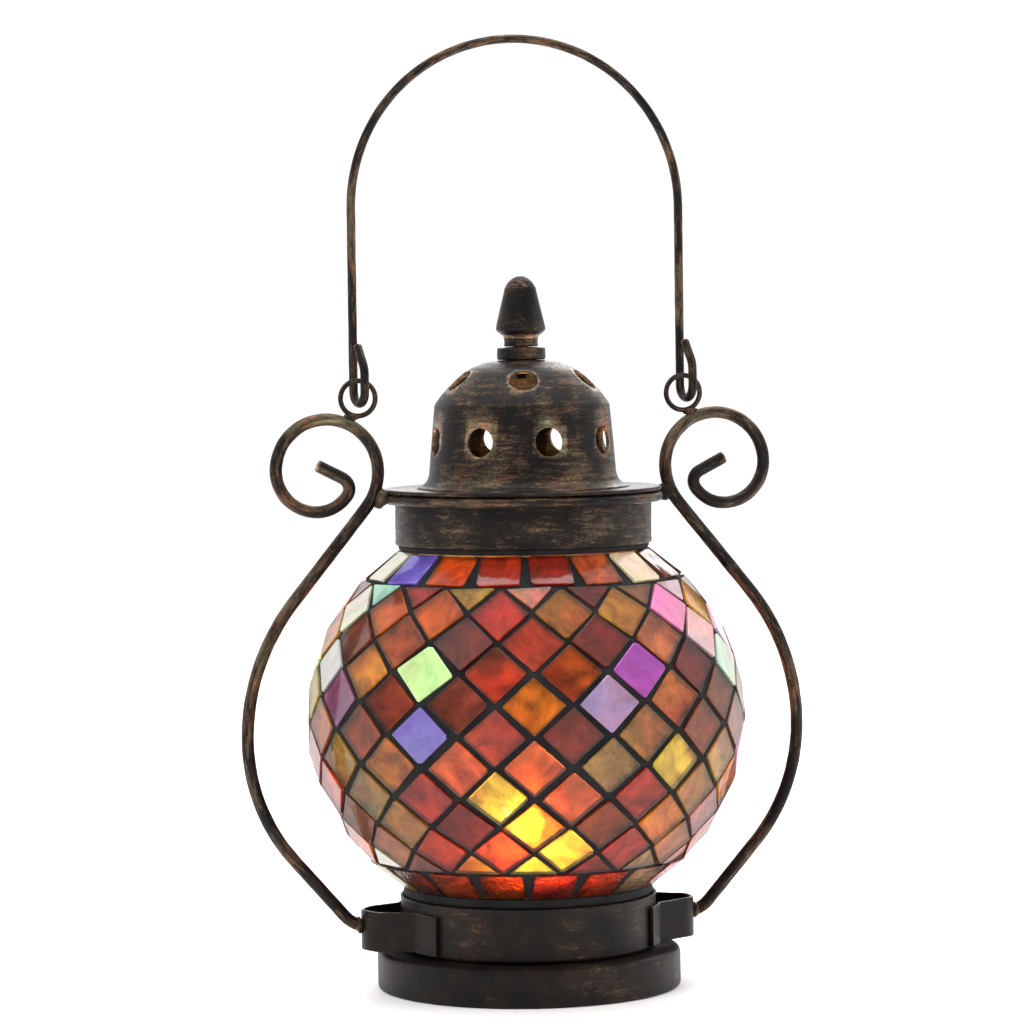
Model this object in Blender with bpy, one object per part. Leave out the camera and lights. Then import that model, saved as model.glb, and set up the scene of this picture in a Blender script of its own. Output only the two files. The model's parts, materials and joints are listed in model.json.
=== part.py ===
"""Candle lantern: a mosaic glass globe in a bronzed wire and sheet frame, with a lift-off lid and a bail handle.

Metres, +Z up. The origin is the bottom centre of the plinth. The two side scrolls lie in the XZ plane.
The lid and the tealight lift along +Z, and the handle swings about the X line through its two rings.
"""

import math

import bmesh
import bpy
from mathutils import Matrix, Vector

MM = 0.001
GAP = 0.3  # room between pieces that touch or are soldered together

# All driving dimensions are in millimetres.
GLOBE_RADIUS = 52.6  # outside of the mosaic at its widest
GLOBE_HALF_HEIGHT = 49.2  # the globe is a little flattened
GLOBE_Z = 64.6  # height of the globe's centre
TILE_THICKNESS = 2.0
GLASS_WALL = 2.2
BAND_LATITUDE = 43.0  # where the diamond tiles end and the upright bands begin, in degrees
BAND_END_LATITUDE = 55.2

SHEET = 0.8  # wall of every pressed sheet piece
PLINTH_RADIUS = 36.4
PLINTH_HEIGHT = 9.0
PLINTH_FLANGE = 4.0
CUP_RADIUS = 30.7
CUP_TOP_Z = 22.2
GLASS_FLOOR_Z = 16.5
GLASS_HEEL_RADIUS = 24.0

COLLAR_RADIUS = 30.65
COLLAR_BOTTOM_Z = 106.1
COLLAR_TOP_Z = 117.9
NECK_RADIUS = 27.5
NECK_TOP_Z = 113.0

SEAT_WIRE_RADIUS = 1.15
SEAT_RING_RADIUS = 32.3
SEAT_RING_Z = 117.1

LID_Z = 118.6  # underside of the lid plate
LID_PLATE_RADIUS = 33.2
LID_PLATE_HOLE = 20.5
SKIRT_RADIUS = 29.0
SKIRT_DEPTH = 4.6
DOME_BORE = 1.75
VENT_RADIUS = 3.45
WALL_VENTS = 8
WALL_VENT_HEIGHT = 12.2
WALL_VENT_FIRST = -85.5  # azimuth of the first wall vent, in degrees
CROWN_VENTS = 5
CROWN_VENT_RADIUS = 15.8
CROWN_VENT_HEIGHT = 26.8
CROWN_VENT_TILT = 49.0  # tilt of a crown vent's axis above the horizontal, in degrees
CROWN_VENT_FIRST = -101.0

SCROLL_WIRE_RADIUS = 1.5
SCROLL_TIP = (49.9, 125.7)
SCROLL_TIP_HEADING = 207.0
# The scroll as it is bent, from its inner tip: (length, 0) is straight, and (radius, turn) is a bend.
SCROLL_BENDS = (
    (6.9, 0),
    (2.9, 98),
    (8.75, 55),
    (9.9, 90),
    (12.1, 90),
    (12.5, 90),
    (14.0, 39),
    (28.0, 0),
    (52.0, -39),
    (44.0, -41),
    (18.5, 0),
    (6.0, -24),
    (1.0, 0),
)

STRAP_HEIGHT = 9.5
STRAP_Z = 10.1
STRAP_BEND_RADIUS = 6.6
STRAP_REACH = 40.8  # from the centre line to the outside of the strap's bend
STRAP_TAB_END = 34.0  # the tab lies on the cup between these two angles, in degrees
STRAP_TAB_START = 18.0

RING_WIRE_RADIUS = 0.6
RING_RADIUS = 4.2
RING_X = 39.8
RING_Z = 141.4

HANDLE_WIRE_RADIUS = 1.05
HANDLE_TOP_Z = 226.5  # centre line of the wire at the crown
EYE_CENTRES_X = (-39.5, 40.7)
EYE_TURN = 18.0  # how far the plane of each eye is turned from the YZ plane, in degrees
EYE_HALF_WIDTH = 2.8
# The eye as it is bent, from its free end down, round and up the leg.
EYE_TIP = (-0.6, 8.3)
EYE_TIP_HEADING = -58.0
EYE_BENDS = ((5.0, 0), (4.93, -32), (4.15, 0), (EYE_HALF_WIDTH, -180))

TEALIGHT_Z = 19.1
TEALIGHT_RADIUS = 18.6
TEALIGHT_HEIGHT = 14.0
TEALIGHT_WALL = 0.5
WAX_LEVEL = 10.4
WICK_RADIUS = 0.8
WICK_TOP = 16.0

ROUND_STEPS = 40
HIDDEN_STEPS = 32
SMALL_STEPS = 20
WIRE_BEVEL = 2
STEP_DEGREES = 13.0  # most turn between two points of a bent wire
STEP_LENGTH = 6.0  # most length between two points of a bent wire

SIDES = {"left": -1, "right": 1}


def clear_scene():
    for old in list(bpy.data.objects):
        bpy.data.objects.remove(old, do_unlink=True)


def make_material(name, colour, roughness, metallic=0.0, transmission=0.0):
    material = bpy.data.materials.new(name)
    material.use_nodes = True
    shader = material.node_tree.nodes["Principled BSDF"]
    shader.inputs["Base Color"].default_value = (*colour, 1.0)
    shader.inputs["Roughness"].default_value = roughness
    shader.inputs["Metallic"].default_value = metallic
    shader.inputs["Transmission Weight"].default_value = transmission
    return material


def bronze(name):
    return make_material(name, (0.085, 0.062, 0.048), 0.48, metallic=0.85)


# ---------------------------------------------------------------- shaping tools


def finish(name, mesh, material):
    """A new object for this mesh, shaded smooth with its real corners kept sharp."""
    mesh.materials.append(material)
    mesh.shade_smooth()
    mesh.set_sharp_from_angle(angle=math.radians(32))
    piece = bpy.data.objects.new(name, mesh)
    bpy.context.scene.collection.objects.link(piece)
    return piece


def turned(name, outline, material, steps=ROUND_STEPS):
    """Spins an outline of (radius, height) about Z. It is a closed loop unless both its ends lie on the axis."""
    form = bmesh.new()
    points = [form.verts.new((radius * MM, 0, height * MM)) for radius, height in outline]
    edges = [form.edges.new(pair) for pair in zip(points, points[1:])]
    if outline[0][0] > 0 or outline[-1][0] > 0:
        edges.append(form.edges.new((points[-1], points[0])))
    bmesh.ops.spin(
        form, geom=points + edges, cent=(0, 0, 0), axis=(0, 0, 1), angle=math.tau, steps=steps, use_merge=True
    )
    bmesh.ops.remove_doubles(form, verts=form.verts, dist=0.001 * MM)
    bmesh.ops.dissolve_degenerate(form, edges=form.edges, dist=0.001 * MM)
    bmesh.ops.recalc_face_normals(form, faces=form.faces)
    mesh = bpy.data.meshes.new(name)
    form.to_mesh(mesh)
    form.free()
    return finish(name, mesh, material)


def extruded(name, outline, height, material):
    """Raises a closed outline of (x, y) by this height."""
    form = bmesh.new()
    face = form.faces.new([form.verts.new((x * MM, y * MM, 0)) for x, y in outline])
    raised = bmesh.ops.extrude_face_region(form, geom=[face])["geom"]
    top = [part for part in raised if isinstance(part, bmesh.types.BMVert)]
    bmesh.ops.translate(form, verts=top, vec=(0, 0, height * MM))
    bmesh.ops.recalc_face_normals(form, faces=form.faces)
    mesh = bpy.data.meshes.new(name)
    form.to_mesh(mesh)
    form.free()
    return finish(name, mesh, material)


def wire(name, points, radius, material):
    """A round wire along these points, with flat cut ends."""
    curve = bpy.data.curves.new(name, "CURVE")
    curve.dimensions = "3D"
    curve.bevel_depth = radius * MM
    curve.bevel_resolution = WIRE_BEVEL
    curve.use_fill_caps = True
    curve.materials.append(material)
    spline = curve.splines.new("POLY")
    spline.points.add(len(points) - 1)
    for node, place in zip(spline.points, points):
        node.co = (*(Vector(place) * MM), 1.0)
    piece = bpy.data.objects.new(name, curve)
    bpy.context.scene.collection.objects.link(piece)
    return piece


def wire_ring(name, ring_radius, wire_radius, steps, material):
    """A closed wire ring about its own Z axis."""
    around = [
        (ring_radius + wire_radius * math.cos(turn), wire_radius * math.sin(turn))
        for turn in (index * math.tau / 8 for index in range(8))
    ]
    return turned(name, around, material, steps)


def arc(centre, radius, start, end, steps):
    """Points on a circle from one angle to another, in degrees."""
    turns = [math.radians(start + (end - start) * index / steps) for index in range(steps + 1)]
    return [(centre[0] + radius * math.cos(turn), centre[1] + radius * math.sin(turn)) for turn in turns]


def bent(start, heading, bends):
    """The points of a wire bent in one plane. A turn to the left is positive."""
    points = [Vector(start)]
    for size, turn in bends:
        if turn == 0:
            count = max(1, math.ceil(size / (2 * STEP_LENGTH)))
            step = Vector((math.cos(math.radians(heading)), math.sin(math.radians(heading)))) * size / count
            for _ in range(count):
                points.append(points[-1] + step)
            continue
        length = size * math.radians(abs(turn))
        count = max(2, math.ceil(abs(turn) / STEP_DEGREES), math.ceil(length / STEP_LENGTH))
        side = math.copysign(1, turn)
        centre = points[-1] + size * Vector(
            (math.cos(math.radians(heading + 90 * side)), math.sin(math.radians(heading + 90 * side)))
        )
        spoke = points[-1] - centre
        for index in range(1, count + 1):
            points.append(centre + Matrix.Rotation(math.radians(turn * index / count), 2) @ spoke)
        heading += turn
    return points


def pivot(name, height):
    """An empty on a joint's axis, which carries the pieces that move."""
    empty = bpy.data.objects.new(name, None)
    empty.location = (0, 0, height * MM)
    bpy.context.scene.collection.objects.link(empty)
    return empty


def cut(piece, cutter):
    """Cuts the cutter out of the piece and keeps it only as a guide."""
    cutter.hide_render = True
    cutter.display_type = "WIRE"
    modifier = piece.modifiers.new("cut_" + cutter.name, "BOOLEAN")
    modifier.operation = "DIFFERENCE"
    modifier.solver = "EXACT"
    modifier.object = cutter


# ---------------------------------------------------------------- base


def make_plinth(metal):
    """A shallow pressed dish standing on its turned-in rim, open underneath."""
    rim = PLINTH_RADIUS - PLINTH_FLANGE
    edge = 1.2
    outline = [(rim, 0), (PLINTH_RADIUS, 0)]
    outline += arc((PLINTH_RADIUS - edge, PLINTH_HEIGHT - edge), edge, 0, 90, 3)
    outline += [(0, PLINTH_HEIGHT), (0, PLINTH_HEIGHT - SHEET)]
    outline += [(PLINTH_RADIUS - SHEET - 0.5, PLINTH_HEIGHT - SHEET)]
    outline += [(PLINTH_RADIUS - SHEET, PLINTH_HEIGHT - SHEET - 0.5)]
    outline += [(PLINTH_RADIUS - SHEET, SHEET), (rim, SHEET)]
    top = outline.index((0, PLINTH_HEIGHT))
    turned("plinth", outline[top + 1 :] + outline[: top + 1], metal)


def make_base_cup(metal):
    """A straight cup soldered on the plinth, which the globe is bedded in."""
    floor = PLINTH_HEIGHT + GAP
    inner = CUP_RADIUS - SHEET
    outline = [(0, floor), (CUP_RADIUS - 0.8, floor), (CUP_RADIUS, floor + 0.8), (CUP_RADIUS, CUP_TOP_Z)]
    outline += [(inner, CUP_TOP_Z), (inner, floor + SHEET), (0, floor + SHEET)]
    turned("base_cup", outline, metal)


def make_globe_bed(plaster):
    """The bed between the cup and the bottom of the glass."""
    low = PLINTH_HEIGHT + GAP + SHEET + GAP
    outer = CUP_RADIUS - SHEET - GAP
    top = CUP_TOP_Z - GAP
    outline = [(0, low), (outer, low), (outer, top), (GLASS_HEEL_RADIUS + 1.6, top)]
    outline += [(GLASS_HEEL_RADIUS + 0.5, GLASS_FLOOR_Z + 1.9), (GLASS_HEEL_RADIUS - 1.6, GLASS_FLOOR_Z - GAP)]
    outline += [(0, GLASS_FLOOR_Z - GAP)]
    turned("globe_bed", outline, plaster, HIDDEN_STEPS)


def strap_path(reach, bend_radius, cup_radius):
    """One face of a strap seen from above: along the cup, out, round the bend and back to the cup."""
    centre = Vector((reach - bend_radius, 0))
    foot = Vector(arc((0, 0), cup_radius, STRAP_TAB_START, STRAP_TAB_START, 1)[0])
    away = foot - centre
    lean = math.degrees(math.atan2(away.y, away.x) - math.acos(bend_radius / away.length))
    path = arc((0, 0), cup_radius, -STRAP_TAB_END, -STRAP_TAB_START, 3)
    path += arc(centre, bend_radius, -lean, lean, 10)
    path += arc((0, 0), cup_radius, STRAP_TAB_START, STRAP_TAB_END, 3)
    return path


def make_straps(metal):
    """A sheet loop on each side of the cup, which holds the foot of the scroll."""
    outside = strap_path(STRAP_REACH, STRAP_BEND_RADIUS, CUP_RADIUS + GAP + SHEET)
    inside = strap_path(STRAP_REACH - SHEET, STRAP_BEND_RADIUS - SHEET, CUP_RADIUS + GAP)
    for side, turn in (("left", math.pi), ("right", 0.0)):
        strap = extruded(f"strap_{side}", outside + inside[::-1], STRAP_HEIGHT, metal)
        strap.rotation_euler.z = turn
        strap.location.z = STRAP_Z * MM


# ---------------------------------------------------------------- globe


def globe_arc(depth, start, end, steps):
    """The globe's outline this far under the face of the mosaic, between two latitudes."""
    round_arc = arc((0, 0), 1.0, start, end, steps)
    return [((GLOBE_RADIUS - depth) * x, GLOBE_Z + (GLOBE_HALF_HEIGHT - depth) * z) for x, z in round_arc]


def make_glass_globe(glass):
    """The blown globe, with a flattened foot to stand the candle on and an open neck."""
    outer = TILE_THICKNESS + GAP
    inner = outer + GLASS_WALL
    neck_inner = NECK_RADIUS - GLASS_WALL
    outer_neck = math.degrees(math.acos(NECK_RADIUS / (GLOBE_RADIUS - outer)))
    inner_neck = math.degrees(math.acos(neck_inner / (GLOBE_RADIUS - inner)))
    floor = GLASS_FLOOR_Z + GLASS_WALL
    outline = [(0, GLASS_FLOOR_Z), (GLASS_HEEL_RADIUS - 4, GLASS_FLOOR_Z)]
    outline += [(GLASS_HEEL_RADIUS - 2, GLASS_FLOOR_Z + 0.4), (GLASS_HEEL_RADIUS, GLASS_FLOOR_Z + 2.1)]
    outline += globe_arc(outer, -59, outer_neck, 12)
    outline += [(NECK_RADIUS, NECK_TOP_Z), (neck_inner, NECK_TOP_Z)]
    outline += globe_arc(inner, inner_neck, -60, 10)
    outline += [(GLASS_HEEL_RADIUS - 2.2, floor + 1.3), (GLASS_HEEL_RADIUS - 3.7, floor + 0.2), (0, floor)]
    turned("glass_globe", outline, glass, HIDDEN_STEPS)


def make_mosaic(glass):
    """The tiles and their grout as three shells: two upright bands and the field of diamonds between them."""
    joint = 0.2
    zones = (
        ("mosaic_bottom_band", -BAND_END_LATITUDE, -BAND_LATITUDE - joint, 2),
        ("mosaic_field", -BAND_LATITUDE + joint, BAND_LATITUDE - joint, 10),
        ("mosaic_top_band", BAND_LATITUDE + joint, BAND_END_LATITUDE - joint, 2),
    )
    for name, low, high, steps in zones:
        outline = globe_arc(0, low, high, steps) + globe_arc(TILE_THICKNESS, high, low, steps)
        turned(name, outline, glass, HIDDEN_STEPS)


# ---------------------------------------------------------------- neck


def tube(name, inner, outer, low, high, material, steps=ROUND_STEPS):
    return turned(name, [(inner, low), (outer, low), (outer, high), (inner, high)], material, steps)


def make_neck(metal, plaster):
    """The collar round the neck of the glass, its bedding, and the wire ring that the lid rests on."""
    tube("collar", COLLAR_RADIUS - SHEET, COLLAR_RADIUS, COLLAR_BOTTOM_Z, COLLAR_TOP_Z, metal)
    inner = NECK_RADIUS + GAP
    outer = COLLAR_RADIUS - SHEET - GAP
    tube("collar_bedding", inner, outer, COLLAR_BOTTOM_Z + 1.8, NECK_TOP_Z - 1, plaster, HIDDEN_STEPS)
    seat = wire_ring("seat_ring", SEAT_RING_RADIUS, SEAT_WIRE_RADIUS, ROUND_STEPS, metal)
    seat.location.z = SEAT_RING_Z * MM


def make_scrolls(metal):
    """The two side wires: a hooked loop beside the lid, then out round the globe and in to the straps."""
    path = bent(SCROLL_TIP, SCROLL_TIP_HEADING, SCROLL_BENDS)
    for side, sign in SIDES.items():
        wire(f"scroll_{side}", [(sign * x, 0, z) for x, z in path], SCROLL_WIRE_RADIUS, metal)


def make_hanger_rings(metal):
    """The small upright rings soldered on the scrolls, which the handle hangs in."""
    for side, sign in SIDES.items():
        ring = wire_ring(f"hanger_ring_{side}", RING_RADIUS, RING_WIRE_RADIUS, SMALL_STEPS, metal)
        ring.rotation_euler.x = math.pi / 2
        ring.location = (sign * RING_X * MM, 0, RING_Z * MM)


# ---------------------------------------------------------------- lid


def drill(name, azimuth, tilt, radius, height):
    """A cutter for one vent, through the dome's wall along a line from its axis."""
    form = bmesh.new()
    length = 12.0
    bmesh.ops.create_cone(
        form, cap_ends=True, segments=16, radius1=VENT_RADIUS * MM, radius2=VENT_RADIUS * MM, depth=length * MM
    )
    mesh = bpy.data.meshes.new(name)
    form.to_mesh(mesh)
    form.free()
    cutter = bpy.data.objects.new(name, mesh)
    bpy.context.scene.collection.objects.link(cutter)
    cutter.rotation_euler = (0, math.pi / 2 - math.radians(tilt), math.radians(azimuth))
    across = Vector((math.cos(math.radians(azimuth)), math.sin(math.radians(azimuth))))
    cutter.location = Vector((*(across * radius), height)) * MM
    return cutter


def make_dome(metal):
    """The pierced dome: a flared foot, a wall that leans in, a shoulder and a low crown."""
    outside = [(25.4, 1.1), (24.0, 1.7), (22.9, 2.7), (22.4, 4.2), (21.8, 11.6), (20.9, 20.7), (19.4, 22.9)]
    outside += [(17.4, 25.2), (15.0, 27.5), (12.0, 29.5), (8.9, 30.7), (5.8, 31.2), (DOME_BORE, 31.3)]
    inside = [(DOME_BORE, 31.3 - SHEET), (5.7, 30.4), (8.6, 29.9), (11.6, 28.7), (14.5, 26.8), (16.8, 24.6)]
    inside += [(18.8, 22.3), (20.1, 20.3), (21.0, 11.5), (21.6, 4.1), (22.2, 2.1), (23.4, 1.1)]
    dome = turned("dome", outside + inside, metal)
    guides = []
    for index in range(WALL_VENTS):
        azimuth = WALL_VENT_FIRST + index * 360 / WALL_VENTS
        guides.append(drill(f"wall_vent_{index + 1}", azimuth, 0, 21.5, WALL_VENT_HEIGHT))
    for index in range(CROWN_VENTS):
        azimuth = CROWN_VENT_FIRST + index * 360 / CROWN_VENTS
        place = (CROWN_VENT_RADIUS, CROWN_VENT_HEIGHT)
        guides.append(drill(f"crown_vent_{index + 1}", azimuth, CROWN_VENT_TILT, *place))
    for guide in guides:
        cut(dome, guide)
    return [dome, *guides]


def make_finial(metal):
    """The knob: a disc, a waisted cone with a rounded top, and the stud and nut that hold it on the dome."""
    disc = tube("finial_washer", DOME_BORE, 5.85, 31.6, 34.2, metal, SMALL_STEPS)
    stud = 1.4
    outline = [(0, 26.8), (stud, 26.8), (stud, 34.5), (4.05, 34.5), (4.05, 36.9), (5.9, 38.6), (3.75, 48.4)]
    outline += [(3.0, 49.6), (2.1, 50.6), (1.0, 51.2), (0, 51.3)]
    finial = turned("finial", outline, metal, SMALL_STEPS)
    nut = tube("finial_nut", DOME_BORE, 3.2, 27.7, 30.2, metal, 6)
    return [disc, finial, nut]


def make_lid(metal):
    """The lid, which lifts off the wire ring. Its pieces are measured up from the underside of its plate."""
    lid = pivot("lid_slide", LID_Z)
    plate = tube("lid_plate", LID_PLATE_HOLE, LID_PLATE_RADIUS, 0, SHEET, metal)
    skirt = tube("lid_skirt", SKIRT_RADIUS - SHEET, SKIRT_RADIUS, -SKIRT_DEPTH, -GAP, metal)
    for piece in [plate, skirt, *make_dome(metal), *make_finial(metal)]:
        piece.parent = lid


# ---------------------------------------------------------------- handle


def eye_points(centre_x):
    """One eye from its free end to the foot of the leg, relative to the handle's pivot line."""
    across = Vector((math.sin(math.radians(EYE_TURN)), -math.cos(math.radians(EYE_TURN)), 0))
    flat = bent(EYE_TIP, EYE_TIP_HEADING, EYE_BENDS)
    return [Vector((centre_x, 0, 0)) + across * offset + Vector((0, 0, height)) for offset, height in flat]


def make_handle(metal):
    """A bail of one wire: an eye at each end, straight legs and a half-round arch."""
    pivot_z = RING_Z + RING_RADIUS
    left, right = (eye_points(x) for x in EYE_CENTRES_X)
    foot_left, foot_right = left[-1], right[-1]
    radius = (foot_right.x - foot_left.x) / 2
    middle = (foot_right.x + foot_left.x) / 2
    spring = HANDLE_TOP_Z - pivot_z - radius
    legs = [spring * share for share in (0.25, 0.5, 0.75)]
    arch = [(x, foot_left.y, z) for x, z in arc((middle, spring), radius, 180, 0, 24)]
    path = left + [(foot_left.x, foot_left.y, z) for z in legs]
    path += arch + [(foot_right.x, foot_right.y, z) for z in legs[::-1]] + right[::-1]
    handle = wire("handle", path, HANDLE_WIRE_RADIUS, metal)
    handle.parent = pivot("handle_pivot", pivot_z)


# ---------------------------------------------------------------- tealight


def make_tealight(tin, wax, cotton):
    """The candle: a tin cup, its wax, and a wick held upright by a small tin sustainer."""
    tealight = pivot("tealight_slide", TEALIGHT_Z)
    rim = TEALIGHT_RADIUS + 0.5
    inner = TEALIGHT_RADIUS - TEALIGHT_WALL
    cup = [(0, 0), (TEALIGHT_RADIUS - 0.9, 0), (TEALIGHT_RADIUS, 0.9), (TEALIGHT_RADIUS, TEALIGHT_HEIGHT - 0.6)]
    cup += [(rim, TEALIGHT_HEIGHT - 0.5), (rim, TEALIGHT_HEIGHT), (inner, TEALIGHT_HEIGHT)]
    cup += [(inner, TEALIGHT_WALL + 0.6), (inner - 0.6, TEALIGHT_WALL), (0, TEALIGHT_WALL)]
    low = TEALIGHT_WALL + GAP
    edge = inner - GAP
    hole = WICK_RADIUS + GAP
    flange = 6.0
    pocket = low + 0.6 + GAP
    fill = [(flange + GAP, low), (edge - 0.7, low), (edge, low + 0.9), (edge, WAX_LEVEL + 0.7)]
    fill += [(edge - 1.6, WAX_LEVEL), (3.0, WAX_LEVEL - 0.4), (hole, WAX_LEVEL - 0.2), (hole, pocket)]
    fill += [(flange + GAP, pocket)]
    tab = [(0, low), (flange, low), (flange, low + 0.6), (0, low + 0.6)]
    wick = [(0, pocket), (WICK_RADIUS, pocket), (WICK_RADIUS, WICK_TOP - 0.6), (0.3, WICK_TOP), (0, WICK_TOP)]
    pieces = [
        turned("tealight_cup", cup, tin, HIDDEN_STEPS),
        turned("tealight_wax", fill, wax, HIDDEN_STEPS),
        turned("wick_sustainer", tab, tin, SMALL_STEPS),
        turned("wick", wick, cotton, 8),
    ]
    for piece in pieces:
        piece.parent = tealight


def main():
    clear_scene()
    metal = bronze("aged_bronze")
    wire_metal = bronze("aged_bronze_wire")
    plaster = make_material("plaster", (0.62, 0.59, 0.53), 0.9)
    clear_glass = make_material("clear_glass", (0.95, 0.95, 0.93), 0.03, transmission=1.0)
    tile_glass = make_material("mosaic_glass", (0.62, 0.17, 0.06), 0.08, transmission=0.6)
    tin = make_material("tin", (0.78, 0.78, 0.77), 0.3, metallic=1.0)
    wax = make_material("wax", (0.93, 0.9, 0.82), 0.5)
    cotton = make_material("cotton", (0.12, 0.1, 0.08), 0.95)
    make_plinth(metal)
    make_base_cup(metal)
    make_globe_bed(plaster)
    make_straps(metal)
    make_glass_globe(clear_glass)
    make_mosaic(tile_glass)
    make_neck(metal, plaster)
    make_scrolls(wire_metal)
    make_hanger_rings(wire_metal)
    make_lid(metal)
    make_handle(wire_metal)
    make_tealight(tin, wax, cotton)


main()
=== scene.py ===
"""Looks of the candle lantern: a mosaic of glass tiles, hand-rubbed bronze sheet and wire, a lit tealight.

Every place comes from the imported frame. Lengths written here are millimetres and go through MM.
"""

import json
import math
import random

import bpy
from mathutils import Matrix, Vector, noise


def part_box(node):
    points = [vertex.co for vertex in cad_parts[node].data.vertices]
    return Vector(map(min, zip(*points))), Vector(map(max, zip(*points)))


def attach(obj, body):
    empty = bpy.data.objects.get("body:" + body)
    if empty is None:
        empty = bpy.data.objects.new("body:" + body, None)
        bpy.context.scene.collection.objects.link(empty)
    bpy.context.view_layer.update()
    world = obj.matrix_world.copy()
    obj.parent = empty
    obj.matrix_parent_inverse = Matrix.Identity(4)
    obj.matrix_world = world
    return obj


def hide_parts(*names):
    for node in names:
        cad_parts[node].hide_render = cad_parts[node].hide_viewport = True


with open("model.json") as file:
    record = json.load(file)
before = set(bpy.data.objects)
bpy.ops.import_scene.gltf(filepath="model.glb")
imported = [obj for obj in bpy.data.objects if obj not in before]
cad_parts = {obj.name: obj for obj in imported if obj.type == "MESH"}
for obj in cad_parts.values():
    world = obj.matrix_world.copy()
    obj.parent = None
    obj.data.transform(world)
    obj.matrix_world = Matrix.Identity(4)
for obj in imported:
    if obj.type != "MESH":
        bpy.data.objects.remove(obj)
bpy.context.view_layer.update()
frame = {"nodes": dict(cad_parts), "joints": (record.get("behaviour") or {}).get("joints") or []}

MM = 0.001

# ---------------------------------------------------------------- driving sizes

CAMERA_YAW = math.radians(-12.49)
CAMERA_PITCH = math.radians(2.84)
CAMERA_ROLL = math.radians(-0.77)
CAMERA_DISTANCE = 0.987
CAMERA_HEIGHT = 0.1625
CAMERA_SIDE = -0.0027
CAMERA_LENS = 145.2
FRONT = math.degrees(CAMERA_YAW) - 90  # azimuth of the side that the camera sees, in degrees

SHEET = 0.8
PLINTH_FLANGE = 4.0
GLASS_WALL = 2.2
NECK_RADIUS = 27.5
LID_PLATE_HOLE = 20.5
DOME_BORE = 1.75
STRAP_BEND_RADIUS = 6.6
STRAP_TAB_START = 18.0  # the tab lies on the cup between these two angles, in degrees
STRAP_TAB_END = 34.0
COLUMNS = 18
COLUMN_PITCH = 360 / COLUMNS
ROW_PITCH = 8.6  # latitude between two rows of diamonds, in degrees
DIAMOND_ROWS = 9
FIELD_END = 42.8  # latitude where the CAD shell of the diamonds ends
BAND_END = 55.2  # latitude where the upright bands end
TILE_HALF_DIAGONAL = 7.4
TILE_THICKNESS = 1.55
TILE_PROUD = 0.25  # how far a tile's face stands above the grout at its middle

SCROLL_WIRE = 1.5
SCROLL_TIP = (49.9, 125.7)
SCROLL_TIP_HEADING = 207.0
# (length, 0) is straight and (radius, turn in degrees) is a bend, from the inner tip down to the strap.
SCROLL_BENDS = (
    (6.9, 0), (2.9, 98), (8.75, 55), (9.9, 90), (12.1, 90), (12.5, 90), (14.0, 39),
    (28.0, 0), (52.0, -39), (44.0, -41), (18.5, 0), (6.0, -24), (1.2, 0),
)
HANDLE_WIRE = 1.05
EYE_TURN = 18.0
EYE_HALF_WIDTH = 2.8
EYE_TIP = (-0.6, 8.3)
EYE_TIP_HEADING = -58.0
EYE_BENDS = ((5.0, 0), (4.93, -32), (4.15, 0), (EYE_HALF_WIDTH, -180))
RING_WIRE = 0.62

VENT_RADIUS = 3.45
WALL_VENTS = 8
WALL_VENT_FIRST = -85.5  # azimuth of the first vent, in degrees
WALL_VENT_RADIUS = 21.5
WALL_VENT_HEIGHT = 12.2
CROWN_VENTS = 5
CROWN_VENT_FIRST = -101.0
CROWN_VENT_RADIUS = 15.8
CROWN_VENT_HEIGHT = 26.8
CROWN_VENT_TILT = 49.0  # tilt of a crown vent's axis above the horizontal, in degrees

SIDES = {"left": -1, "right": 1}


def size_of(node):
    """(lowest corner, highest corner) of a CAD node in millimetres."""
    low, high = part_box(node)
    return Vector(low) / MM, Vector(high) / MM


# ---------------------------------------------------------------- node trees


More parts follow.
